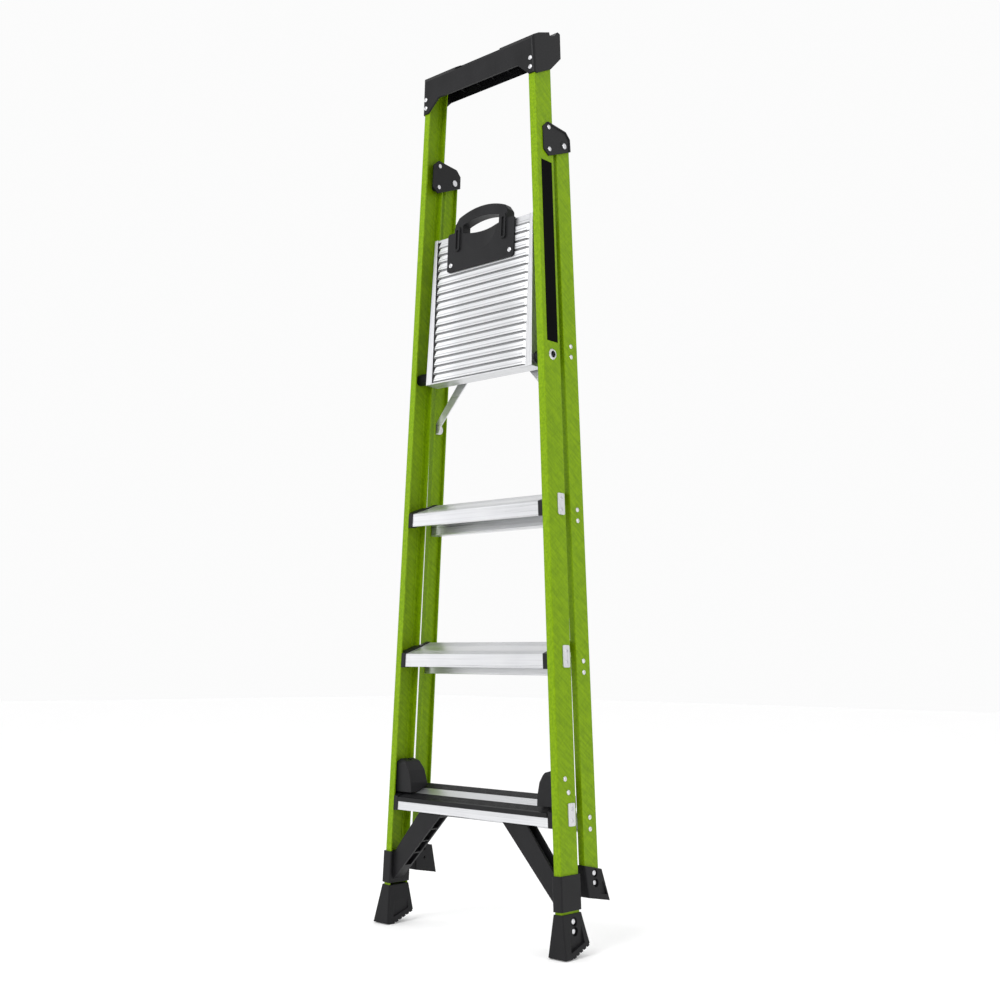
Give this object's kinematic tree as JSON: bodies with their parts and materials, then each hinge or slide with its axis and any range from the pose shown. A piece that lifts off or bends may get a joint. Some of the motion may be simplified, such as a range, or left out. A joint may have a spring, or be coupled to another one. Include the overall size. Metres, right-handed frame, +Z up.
{
  "type": "step ladder",
  "caption": "Folding platform step ladder: splayed channel rails, treads, hinged rear section, swing-down ribbed platform with carry handle, capped top and braced feet.",
  "frame": {"origin": "on the ground under the middle of the folded ladder", "axes": "+Z up, -Y towards the climbing side, +X to the climber's right when facing +Y"},
  "size_m": [0.5368, 0.1488, 1.9117],
  "materials": {
    "fibreglass_green": "satin pultruded fibreglass, fluorescent yellow green",
    "aluminium": "mill finish extrusion",
    "plastic_black": "satin moulded",
    "foot_rubber": "satin moulded",
    "plate_black": "powder coated",
    "rivet_steel": "bright plated",
    "label_black": "plain vinyl strip"
  },
  "bodies": {
    "front_section": {"corner_brace_left": "plastic_black", "corner_brace_right": "plastic_black", "corner_housing_left": "plastic_black", "corner_housing_right": "plastic_black", "corner_housing_rivets": "rivet_steel", "front_foot_left": "foot_rubber", "front_foot_right": "foot_rubber", "front_foot_rivets": "rivet_steel", "front_rail_left": "fibreglass_green", "front_rail_right": "fibreglass_green", "hinge_pins": "rivet_steel", "hinge_plate_inner_left": "plate_black", "hinge_plate_inner_right": "plate_black", "hinge_plate_outer_left": "plate_black", "hinge_plate_outer_right": "plate_black", "hinge_rivets": "rivet_steel", "label_plate": "label_black", "platform_bushings": "plastic_black", "platform_pivot_tubes": "rivet_steel", "top_cap": "plastic_black", "top_cap_rivets": "rivet_steel", "tread_backing_plates": "aluminium", "tread_bottom": "aluminium", "tread_bottom_end_cap_left": "plastic_black", "tread_bottom_end_cap_right": "plastic_black", "tread_middle": "aluminium", "tread_middle_end_cap_left": "plastic_black", "tread_middle_end_cap_right": "plastic_black", "tread_upper": "aluminium", "tread_upper_end_cap_left": "plastic_black", "tread_upper_end_cap_right": "plastic_black"},
    "rear_section": {"knee_brace_left": "aluminium", "knee_brace_right": "aluminium", "knee_brace_rivets": "rivet_steel", "rear_bar_lower": "aluminium", "rear_bar_lowest": "aluminium", "rear_bar_middle": "aluminium", "rear_bar_rivets": "rivet_steel", "rear_bar_top": "aluminium", "rear_foot_left": "foot_rubber", "rear_foot_right": "foot_rubber", "rear_foot_rivets": "rivet_steel", "rear_rail_left": "fibreglass_green", "rear_rail_right": "fibreglass_green"},
    "platform": {"carry_handle": "plastic_black", "carry_handle_rivets": "rivet_steel", "platform_deck": "aluminium", "platform_end_member": "aluminium", "platform_nosing": "aluminium", "platform_pins": "rivet_steel", "platform_side_rail_left": "aluminium", "platform_side_rail_right": "aluminium"},
    "bottom_step": {"press_cover": "plastic_black", "press_strip": "aluminium"}
  },
  "joints": [
    {"name": "rear_hinge", "type": "hinge", "parent": "front_section", "child": "rear_section", "pos_m": [0, 0.0228, 1.652], "axis": [1, 0, 0], "range_deg": [0, 30]},
    {"name": "platform_hinge", "type": "hinge", "parent": "front_section", "child": "platform", "pos_m": [0, -0.0356, 1.1834], "axis": [1, 0, 0], "range_deg": [-68, 0]},
    {"name": "bottom_step_press", "type": "slide", "parent": "front_section", "child": "bottom_step", "axis": [0, 0.342, -0.9397], "range_m": [0, 0.002], "stiffness_N_per_m": 20000, "springref_m": -0.0005}
  ],
  "couplings": [
    {"joint": "platform_hinge", "follows": "rear_hinge", "ratio": -2.2666}
  ]
}
